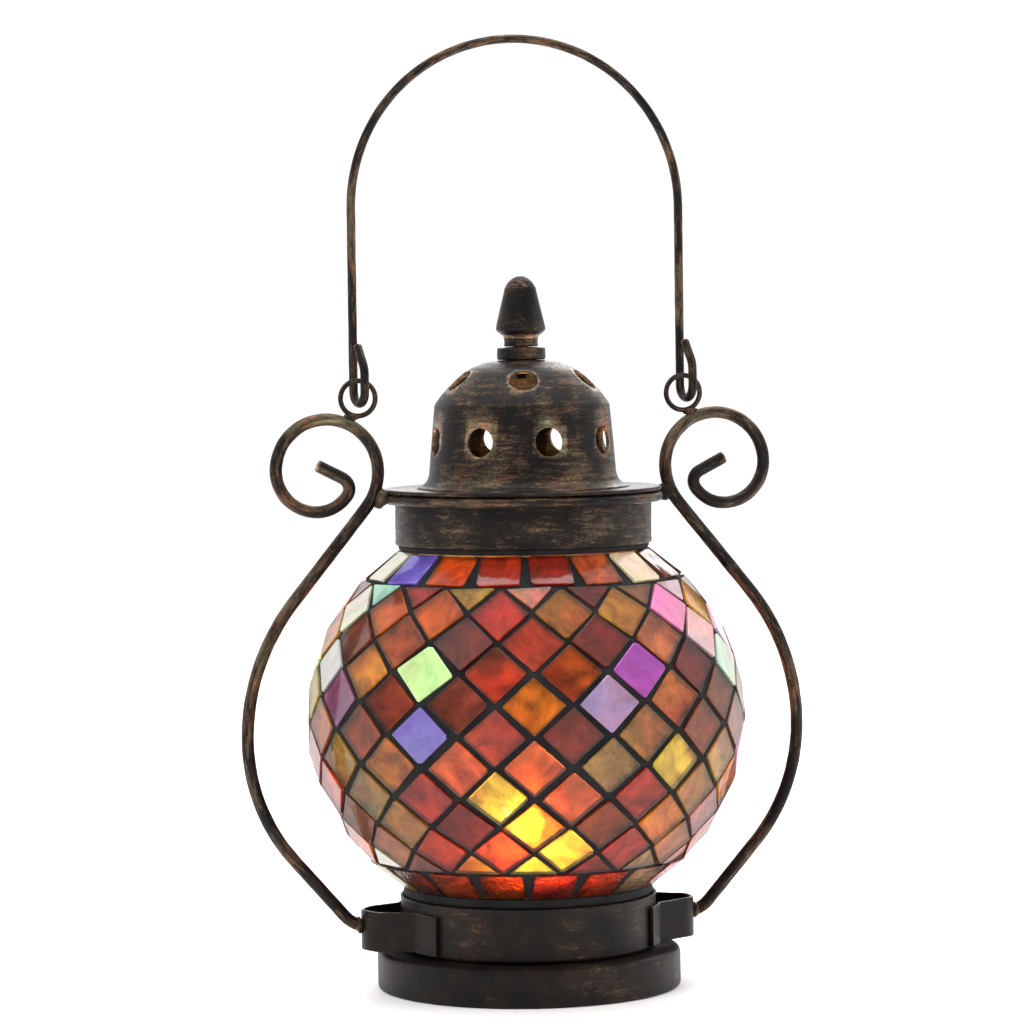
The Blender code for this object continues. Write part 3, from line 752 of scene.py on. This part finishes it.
def make_mosaic(glasses, grout):
    dice = random.Random(7)
    mosaic = Mosaic()
    band = (DIAMOND_ROWS + 1) / 2 * ROW_PITCH
    half = COLUMN_PITCH / 2
    for row in range(1, DIAMOND_ROWS + 1):
        latitude = ((DIAMOND_ROWS + 1) / 2 - row) * ROW_PITCH
        tiles = new_tiles()
        for azimuth, kind in spread(ROW_LAYOUT[row], dice):
            rim = [(latitude - ROW_PITCH, azimuth), (latitude, azimuth + half)]
            rim += [(latitude + ROW_PITCH, azimuth), (latitude, azimuth - half)]
            lay_tile(mosaic, rim, dice, tiles, kind, TILE_HALF_DIAGONAL)
        make_tiles(f"tiles_row_{row}", tiles, glasses, "mosaic_field")
    for name, layout, sign in (("top", TOP_TRIANGLES, 1), ("bottom", BOTTOM_TRIANGLES, -1)):
        tiles = new_tiles()
        for azimuth, kind in spread(layout, dice):
            rim = [(sign * (band - ROW_PITCH), azimuth)]
            rim += [(sign * band, azimuth + half), (sign * band, azimuth - half)]
            lay_tile(mosaic, rim if sign > 0 else rim[::-1], dice, tiles, kind, 9.0, 1.15)
        make_tiles(f"tiles_{name}_triangles", tiles, glasses, "mosaic_field")
    for name, layout, sign, hammer in (("top", TOP_BAND, 1, 0.0), ("bottom", BOTTOM_BAND, -1, 1.0)):
        tiles = new_tiles()
        for azimuth, kind in spread(layout, dice):
            low, high = sorted((sign * band, sign * BAND_END))
            rim = [(low, azimuth - half), (low, azimuth + half)]
            rim += [(high, azimuth + half), (high, azimuth - half)]
            lay_tile(mosaic, rim, dice, tiles, kind, 8.0, 0.65, hammer, True)
        make_tiles(f"tiles_{name}_band", tiles, glasses, f"mosaic_{name}_band")
        ends = [layout[0] - half + index * COLUMN_PITCH for index in range(COLUMNS)]
        mosaic.edge(sign * BAND_END, ends, sign > 0)
        seams = [ROW_LAYOUT[1][0] + index * COLUMN_PITCH for index in range(COLUMNS)]
        mosaic.edge(sign * band, seams, sign > 0)
        mosaic.edge(sign * band, ends, sign < 0)
    zones = ("mosaic_field", "mosaic_top_band", "mosaic_bottom_band")
    net = make_object("grout_net", flattened(mosaic.net_vertices), mosaic.net_faces, grout, "lantern",
                      replaced=zones, slot="mosaic_glass")
    net.data.set_sharp_from_angle(angle=math.radians(40))
    rim = size_of("base_cup")[1].z
    low = GLOBE_CENTRE.z - GLOBE_HALF_HEIGHT * math.sin(math.radians(BAND_END))
    foot = [(26.8, rim - 0.2), (29.6, rim - 0.2), (30.0, rim + 0.5), (29.8, low + 0.2), (28.2, low + 0.2)]
    turned("grout_foot", foot, grout, "lantern", fillet=0.3, wobble=0.15, slot="mosaic_glass")
    edge = size_of("collar")[0].z
    high = 2 * GLOBE_CENTRE.z - low
    neck = [(27.9, high - 0.2), (29.7, high - 0.2), (30.1, edge - 0.2)]
    neck += [(29.5, edge + 0.6), (27.9, edge + 0.6)]
    turned("grout_neck", neck, grout, "lantern", fillet=0.3, wobble=0.1, slot="mosaic_glass")


# ---------------------------------------------------------------- glass and candle


def make_globe(glass):
    low, high = size_of("glass_globe")
    outer, top, floor = high.x, high.z, low.z
    inner, bore = outer - GLASS_WALL, NECK_RADIUS - GLASS_WALL
    press = (GLOBE_HALF_HEIGHT - GLOBE_RADIUS + outer) / outer

    def shell(radius, start, end):
        height = radius * press
        return [(x, GLOBE_CENTRE.z + z * height / radius) for x, z in arc((0, 0), radius, start, end, 40)]

    outline = [(0, floor), (20.0, floor), (22.0, floor + 0.4), (24.0, floor + 2.1)]
    outline += shell(outer, -59, math.degrees(math.acos(NECK_RADIUS / outer)))
    outline += [(NECK_RADIUS, top), (bore, top)]
    outline += shell(inner, math.degrees(math.acos(bore / inner)), -60)
    outline += [(21.8, floor + 3.5), (20.3, floor + 2.4), (0, floor + GLASS_WALL)]
    turned("blown_globe", outline, glass, "lantern", steps=96, fillet=0.5, replaced=("glass_globe",),
           slot="clear_glass")


def make_flame(material):
    """A teardrop flame on the wick, blown to one side, which carries the candle's light."""
    foot, tall, wide, blown = size_of("wick")[1].z - 2.2, 11.0, 1.5, 5.8

    def place(share, turn):
        rise = 1 - share
        width = wide * math.sin(math.pi * rise**0.62) ** 0.9 * (1 - 0.35 * rise)
        middle = -blown * rise**0.8
        return Vector((width * math.cos(turn) + middle, width * math.sin(turn), foot + tall * rise))

    vertices, faces = drop(18, 20, place)
    heights = [(vertex.z - foot) / tall for vertex in vertices]
    flame = make_object("flame", vertices, faces, material, "tealight", flame_height=heights)
    lamp = bpy.data.lights.new("candle_light", "POINT")
    lamp.energy = 0.14
    lamp.color = (1.0, 0.57, 0.2)
    lamp.shadow_soft_size = 4 * MM
    holder = bpy.data.objects.new("candle_light", lamp)
    bpy.context.scene.collection.objects.link(holder)
    holder.parent = flame
    holder.location = Vector((0, 0, foot + 0.55 * tall)) * MM


def paint_nodes(names, material):
    """Gives CAD nodes that stay as they are their finished material."""
    for name in names:
        node = frame["nodes"][name]
        node.data.materials.clear()
        node.data.materials.append(material)


# ---------------------------------------------------------------- sheet metal


def make_base(metal):
    radius, _, top = size_of("plinth")[1]
    rim = radius - PLINTH_FLANGE
    outline = [(0, top - SHEET), (radius - SHEET - 0.4, top - SHEET), (radius - SHEET, SHEET + 0.2)]
    outline += [(rim, SHEET), (rim, 0), (radius - 0.25, 0), (radius, 0.5), (radius, top - 1.3)]
    outline += [(radius - 0.35, top - 0.4), (radius - 1.3, top), (0, top)]
    turned("plinth_shell", outline, metal, "lantern", fillet=0.3, wobble=0.12, replaced=("plinth",),
           slot="bronze_sheet")
    low, high = size_of("base_cup")
    radius, floor, top = high.x, low.z, high.z
    inner = radius - SHEET
    outline = [(0, floor), (radius - 0.7, floor), (radius, floor + 0.7), (radius - 0.1, top - 1.2)]
    outline += [(radius + 0.12, top), (inner + 0.1, top), (inner, floor + SHEET), (0, floor + SHEET)]
    turned("cup_shell", outline, metal, "lantern", fillet=0.3, wobble=0.12, replaced=("base_cup",),
           slot="bronze_sheet")


def strap_path(reach, bend_radius, cup_radius):
    """One face of a strap from above: along the cup, out, round the bend and back."""
    centre = Vector((reach - bend_radius, 0))
    away = Vector(arc((0, 0), cup_radius, STRAP_TAB_START, STRAP_TAB_START, 1)[0]) - centre
    lean = math.degrees(math.atan2(away.y, away.x) - math.acos(bend_radius / away.length))
    path = arc((0, 0), cup_radius, -STRAP_TAB_END, -STRAP_TAB_START, 8)
    path += arc(centre, bend_radius, -lean, lean, 28)
    path += arc((0, 0), cup_radius, STRAP_TAB_START, STRAP_TAB_END, 8)
    return [Vector(point) for point in path]


def make_straps(metal):
    cup = size_of("base_cup")[1].x
    for side, sign in SIDES.items():
        low, high = size_of(f"strap_{side}")
        reach = max(abs(low.x), abs(high.x))
        outside = strap_path(reach, STRAP_BEND_RADIUS, cup + 1.1)
        inside = strap_path(reach - SHEET, STRAP_BEND_RADIUS - SHEET, cup + 0.3)
        levels = ((low.z, 0.22), (low.z + 0.25, 0.0), (high.z - 0.25, 0.0), (high.z, 0.22))
        vertices, faces, wear = [], [], []
        count = len(outside)
        for height, inset in levels:
            for face_path, other in ((outside, inside), (inside, outside)):
                for index, (point, across) in enumerate(zip(face_path, other)):
                    place = point + (across - point).normalized() * inset
                    sag = 0.25 * noise.noise(Vector((place.x * 0.15 * sign, place.y * 0.15, 2.0)))
                    vertices.append((sign * place.x, sign * place.y, height + sag))
                    bend = max(0.0, 1 - abs(index - (count - 1) / 2) / 12)
                    wear.append(0.9 if inset and height > low.z + 1 else 0.85 * bend - 0.15)
        ring = 2 * count
        for level in range(len(levels) - 1):
            base, above = level * ring, (level + 1) * ring
            for index in range(count - 1):
                faces.append((base + index, base + index + 1, above + index + 1, above + index))
                a, b = base + count + index, above + count + index
                faces.append((a + 1, a, b, b + 1))
            for a, b in ((count, 0), (count - 1, ring - 1)):
                faces.append((base + a, base + b, above + b, above + a))
        top = (len(levels) - 1) * ring
        for index in range(count - 1):
            faces.append((index + 1, index, count + index, count + index + 1))
            faces.append((top + index, top + index + 1, top + count + index + 1, top + count + index))
        strap = make_object(f"strap_sheet_{side}", vertices, faces, metal, "lantern", wear=wear,
                            replaced=(f"strap_{side}",), slot="bronze_sheet")
        strap.data.set_sharp_from_angle(angle=math.radians(35))


def make_collar(metal):
    low, high = size_of("collar")
    radius = high.x
    inner = radius - SHEET
    outline = [(inner, low.z + 0.2), (radius - 0.1, low.z), (radius + 0.12, low.z + 0.5)]
    outline += [(radius, low.z + 1.4), (radius, high.z), (inner, high.z)]
    turned("collar_sheet", outline, metal, "lantern", fillet=0.25, wobble=0.16, replaced=("collar",),
           slot="bronze_sheet")


def make_lid(metal, cast):
    low, high = size_of("lid_plate")
    radius, base = high.x, low.z
    hole = LID_PLATE_HOLE
    outline = [(hole, base), (radius - 0.25, base), (radius, base + 0.35), (radius - 0.15, high.z + 0.12)]
    outline += [(radius - 0.9, high.z + 0.1), (radius - 1.7, high.z), (hole, high.z)]
    turned("plate_sheet", outline, metal, "lid", fillet=0.2, wobble=0.1, rubbing=0.6, replaced=("lid_plate",),
           slot="bronze_sheet")
    make_dome(metal, size_of("dome")[0].z - 1.1)
    make_finial(cast)


def make_dome(metal, base):
    """The spun dome with its vents cut through. Heights are above the underside of the lid plate."""
    outside = [(25.4, 0.9), (25.2, 1.15), (24.0, 1.65), (22.95, 2.7), (22.4, 4.2), (22.1, 7.6)]
    outside += [(21.75, 12.0), (20.95, 20.6), (20.5, 21.4), (19.4, 22.9), (17.4, 25.2), (15.0, 27.5)]
    outside += [(13.6, 28.6), (12.0, 29.5), (8.9, 30.7), (5.8, 31.2), (DOME_BORE, 31.3)]
    inside = [(DOME_BORE, 30.5), (5.7, 30.4), (8.6, 29.9), (11.6, 28.7), (14.5, 26.8), (16.8, 24.6)]
    inside += [(18.8, 22.3), (20.1, 20.3), (20.9, 12.0), (21.6, 4.1), (22.2, 2.1), (23.4, 0.9)]
    dome = turned("dome_sheet", outside + inside, metal, "lid", steps=144, fillet=0.35, wobble=0.12,
                  raised=base, rubbing=0.0, replaced=("dome",), slot="bronze_sheet")
    wall = (0.0, WALL_VENT_RADIUS, WALL_VENT_HEIGHT)
    crown = (CROWN_VENT_TILT, CROWN_VENT_RADIUS, CROWN_VENT_HEIGHT)
    vents = [(WALL_VENT_FIRST + index * 360 / WALL_VENTS, *wall) for index in range(WALL_VENTS)]
    vents += [(CROWN_VENT_FIRST + index * 360 / CROWN_VENTS, *crown) for index in range(CROWN_VENTS)]
    cutters, axes = [], []
    for azimuth, tilt, radius, height in vents:
        turn, lean = math.radians(azimuth), math.radians(tilt)
        middle = Vector((radius * math.cos(turn), radius * math.sin(turn), height + base))
        way = Vector((math.cos(lean) * math.cos(turn), math.cos(lean) * math.sin(turn), math.sin(lean)))
        axes.append((middle, way))
        bpy.ops.mesh.primitive_cylinder_add(vertices=40, radius=VENT_RADIUS * MM, depth=14 * MM,
                                            location=middle * MM)
        cutter = bpy.context.object
        cutter.rotation_euler = way.to_track_quat("Z", "Y").to_euler()
        cutters.append(cutter)
    group = bpy.data.collections.new("vent_cutters")
    for cutter in cutters:
        group.objects.link(cutter)
    cut = dome.modifiers.new("vents", "BOOLEAN")
    cut.operand_type = "COLLECTION"
    cut.collection = group
    cut.solver = "EXACT"
    bevel = dome.modifiers.new("vent_edges", "BEVEL")
    bevel.width = 0.16 * MM
    bevel.segments = 2
    bevel.limit_method = "ANGLE"
    bevel.angle_limit = math.radians(50)
    apply_modifiers(dome)
    for cutter in cutters:
        bpy.data.objects.remove(cutter, do_unlink=True)
    bpy.data.collections.remove(group)
    wear = dome.data.attributes["wear"]
    for vertex, value in zip(dome.data.vertices, wear.data):
        place = vertex.co / MM
        for middle, way in axes:
            offset = place - middle
            away = (offset - way * offset.dot(way)).length
            if offset.dot(way) > -3.5 and away < VENT_RADIUS + 0.6:
                value.value = max(value.value, 0.85)
    dome.data.set_sharp_from_angle(angle=math.radians(38))


def apply_modifiers(piece):
    """Keeps the shape that the modifiers make and drops them."""
    seen = piece.evaluated_get(bpy.context.evaluated_depsgraph_get())
    mesh = bpy.data.meshes.new_from_object(seen)
    piece.modifiers.clear()
    piece.data = mesh


def make_finial(cast):
    low, high = size_of("finial_washer")
    foot, top, wide = low.z - 0.25, high.z + 0.25, high.x
    outline = [(DOME_BORE, foot), (wide - 0.1, foot), (wide, low.z + 0.5), (wide - 0.1, high.z)]
    turned("washer_disc", outline + [(DOME_BORE, top)], cast, "lid", steps=56, fillet=0.35, wobble=0.1,
           replaced=("finial_washer",), slot="bronze_cast")
    low, high = size_of("finial")
    neck = high.z - 16.8
    stud = 1.4
    outline = [(0, low.z), (stud, low.z), (stud, neck), (4.1, neck), (3.95, neck + 1.3), (4.15, neck + 2.4)]
    outline += [(5.7, neck + 3.7), (5.9, neck + 4.2), (5.6, neck + 5.8), (3.95, neck + 12.9)]
    outline += [(3.75, neck + 13.9), (3.0, neck + 15.2), (2.1, neck + 16.1), (1.0, neck + 16.7), (0, high.z)]
    turned("finial_knob", outline, cast, "lid", steps=56, fillet=0.35, wobble=0.2, replaced=("finial",),
           slot="bronze_cast")


# ---------------------------------------------------------------- wire


def circle(centre, radius, upright, count=96):
    """A ring of points, level or upright in the XZ plane."""
    turns = [index * math.tau / count for index in range(count)]
    first, second = Vector((1, 0, 0)), Vector((0, 0, 1)) if upright else Vector((0, 1, 0))
    return [Vector(centre) + first * radius * math.cos(t) + second * radius * math.sin(t) for t in turns]


def make_frame_wire(metal):
    low, high = size_of("seat_ring")
    wire = (high.z - low.z) / 2
    middle = (high.z + low.z) / 2
    swept("seat_wire", circle((0, 0, middle), high.x - wire, False, 180), wire, metal, "lantern", closed=True,
          hammer=0.05, replaced=("seat_ring",), slot="bronze_wire")
    flat = eased(bent(SCROLL_TIP, SCROLL_TIP_HEADING, SCROLL_BENDS), 3)
    for side, sign in SIDES.items():
        path = [Vector((sign * point.x, 0, point.y)) for point in flat]
        swept(f"scroll_wire_{side}", path, SCROLL_WIRE, metal, "lantern", hammer=0.06,
              replaced=(f"scroll_{side}",), slot="bronze_wire")
        ring_low, ring_high = size_of(f"hanger_ring_{side}")
        ring_x = (ring_low.x + ring_high.x) / 2
        ring_z = (ring_low.z + ring_high.z) / 2
        ring_radius = (ring_high.z - ring_low.z) / 2 - RING_WIRE
        loop = circle((ring_x, 0, ring_z), ring_radius, True, 64)
        swept(f"ring_wire_{side}", loop, RING_WIRE, metal, "lantern", closed=True, sides=14, hammer=0.03,
              replaced=(f"hanger_ring_{side}",), slot="bronze_wire")
        end = path[-1]
        beads = (
            ("ring", (ring_x + sign * 1.9, 0, ring_low.z + 0.25), (1.9, 1.3, 1.0), 3.0),
            ("seat", (sign * 35.0, 0, middle + 0.6), (2.7, 1.6, 2.3), 9.0),
            ("strap", (end.x - sign * 0.1, 0, end.z), (1.0, 1.9, 1.9), 5.0),
        )
        for name, place, size, seed in beads:
            blob(f"solder_{name}_{side}", place, size, metal, seed + sign)


def make_handle(metal):
    joint = next(joint for joint in frame["joints"] if joint["name"] == "handle_swing")
    pivot = Vector(joint["pos_m"]) / MM
    low, high = size_of("handle")
    across = Vector((math.sin(math.radians(EYE_TURN)), -math.cos(math.radians(EYE_TURN)), 0))
    flat = bent(EYE_TIP, EYE_TIP_HEADING, EYE_BENDS, 0.5)
    shift = across.x * EYE_HALF_WIDTH
    first = low.x + HANDLE_WIRE + shift
    last = high.x - (shift + HANDLE_WIRE)
    left, right = (
        [Vector((x, pivot.y, pivot.z)) + across * offset + Vector((0, 0, height)) for offset, height in flat]
        for x in (first, last)
    )
    radius = (right[-1].x - left[-1].x) / 2
    middle = (right[-1].x + left[-1].x) / 2
    spring = high.z - HANDLE_WIRE - radius
    legs = [left[-1].z + (spring - left[-1].z) * index / 40 for index in range(1, 40)]
    depth = left[-1].y
    path = left + [Vector((left[-1].x, depth, z)) for z in legs]
    path += [Vector((x, depth, z)) for x, z in arc((middle, spring), radius, 180, 0, 120)]
    path += [Vector((right[-1].x, depth, z)) for z in legs[::-1]] + right[::-1]
    swept("handle_wire", eased(path), HANDLE_WIRE, metal, "handle", sides=16, hammer=0.04,
          replaced=("handle",), slot="bronze_wire")


# ---------------------------------------------------------------- studio


def make_studio():
    scene = bpy.context.scene
    scene.view_settings.view_transform = "Standard"
    world = bpy.data.worlds.new("studio")
    world.use_nodes = True
    nodes, links = world.node_tree.nodes, world.node_tree.links
    background = nodes["Background"]
    background.inputs["Color"].default_value = (1.0, 1.0, 1.0, 1.0)
    towards = Vector((-math.sin(CAMERA_YAW), math.cos(CAMERA_YAW), 0.85)).normalized()
    way = nodes.new("ShaderNodeTexCoord")
    along = nodes.new("ShaderNodeVectorMath")
    along.operation = "DOT_PRODUCT"
    along.inputs[1].default_value = towards
    links.new(way.outputs["Generated"], along.inputs[0])
    level = nodes.new("ShaderNodeMapRange")
    level.interpolation_type = "SMOOTHSTEP"
    for name, value in (("From Min", -0.35), ("From Max", 0.35), ("To Min", 0.3), ("To Max", 1.35)):
        level.inputs[name].default_value = value
    links.new(along.outputs["Value"], level.inputs["Value"])
    seen = nodes.new("ShaderNodeLightPath")
    backdrop = nodes.new("ShaderNodeMix")
    backdrop.inputs[3].default_value = 1.1
    links.new(seen.outputs["Is Camera Ray"], backdrop.inputs[0])
    links.new(level.outputs["Result"], backdrop.inputs[2])
    links.new(backdrop.outputs[0], background.inputs["Strength"])
    scene.world = world
    bpy.ops.mesh.primitive_circle_add(vertices=96, radius=4.0, fill_type="NGON", location=(0, 0, -0.0002))
    floor = bpy.context.object
    floor.name = "floor"
    paper = Tree("floor_paper")
    tooth = paper.noise(paper.coordinates(), 900.0, 2.0)
    shader = paper.principled((0.93, 0.93, 0.93), 0.7, paper.bump(tooth, 0.0001, 0.1))
    floor.data.materials.append(paper.finish(shader))
    lamps = (
        ("key", (-0.75, -0.7, 0.9), 0.6, 9.0),
        ("fill", (0.85, -0.5, 0.5), 0.7, 4.0),
        ("top", (0.05, 0.1, 1.1), 0.7, 6.0),
        ("rim", (0.3, 0.9, 0.6), 0.6, 4.0),
    )
    for name, place, size, power in lamps:
        lamp = bpy.data.lights.new(name, "AREA")
        lamp.size = size
        lamp.energy = power
        holder = bpy.data.objects.new(name, lamp)
        holder.visible_glossy = name in ("top", "rim")
        holder.location = place
        holder.rotation_euler = (Vector(place) - Vector((0, 0, 0.09))).to_track_quat("Z", "Y").to_euler()
        scene.collection.objects.link(holder)


def make_camera():
    camera = bpy.data.cameras.new("camera")
    camera.lens = CAMERA_LENS
    camera.sensor_width = 36.0
    camera.clip_start = 0.01
    holder = bpy.data.objects.new("camera", camera)
    yaw, pitch, roll = CAMERA_YAW, CAMERA_PITCH, CAMERA_ROLL
    right = Vector((math.cos(yaw), math.sin(yaw), 0))
    forward = Vector((-math.sin(yaw) * math.cos(pitch), math.cos(yaw) * math.cos(pitch), -math.sin(pitch)))
    up = right.cross(forward)
    turned_right = right * math.cos(roll) + up * math.sin(roll)
    turned_up = up * math.cos(roll) - right * math.sin(roll)
    holder.matrix_world = Matrix((turned_right, turned_up, -forward)).transposed().to_4x4()
    holder.location = (
        Vector((math.sin(yaw), -math.cos(yaw), 0)) * CAMERA_DISTANCE
        + Vector((0, 0, CAMERA_HEIGHT))
        + right * CAMERA_SIDE
    )
    bpy.context.scene.collection.objects.link(holder)
    bpy.context.scene.camera = holder


def main():
    sheet = rubbed_bronze("bronze_sheet", (1.0, 1.0, 7.0), rub=0.5)
    wire = rubbed_bronze("bronze_wire", (1.0, 1.0, 1.0), attribute="grain", rub=0.85)
    base = rubbed_bronze("bronze_base", (1.0, 1.0, 7.0), rub=-0.45)
    cast = rubbed_bronze("bronze_cast", (1.0, 1.0, 2.5), rub=0.35)
    tin = plain_surface("candle_tin", (0.62, 0.62, 0.62), (0.82, 0.82, 0.8), 0.28, 200.0, metallic=1.0)
    wax = plain_surface("candle_wax", (0.86, 0.8, 0.68), (0.93, 0.89, 0.8), 0.4, 120.0, subsurface=0.5)
    wick = plain_surface("wick_cotton", (0.02, 0.015, 0.012), (0.08, 0.06, 0.05), 0.9, 900.0)
    grout = charcoal_grout()
    make_mosaic((tile_glass(), pearl_glass_painted_reflection()), grout)
    make_globe(clear_glass())
    make_base(base)
    make_straps(base)
    make_collar(sheet)
    make_lid(sheet, cast)
    make_frame_wire(wire)
    make_handle(wire)
    make_flame(flame_light())
    paint_nodes(("globe_bed", "collar_bedding"), grout)
    paint_nodes(("tealight_cup", "wick_sustainer"), tin)
    paint_nodes(("tealight_wax",), wax)
    paint_nodes(("wick",), wick)
    paint_nodes(("lid_skirt",), sheet)
    paint_nodes(("finial_nut",), cast)
    make_studio()
    make_camera()


main()
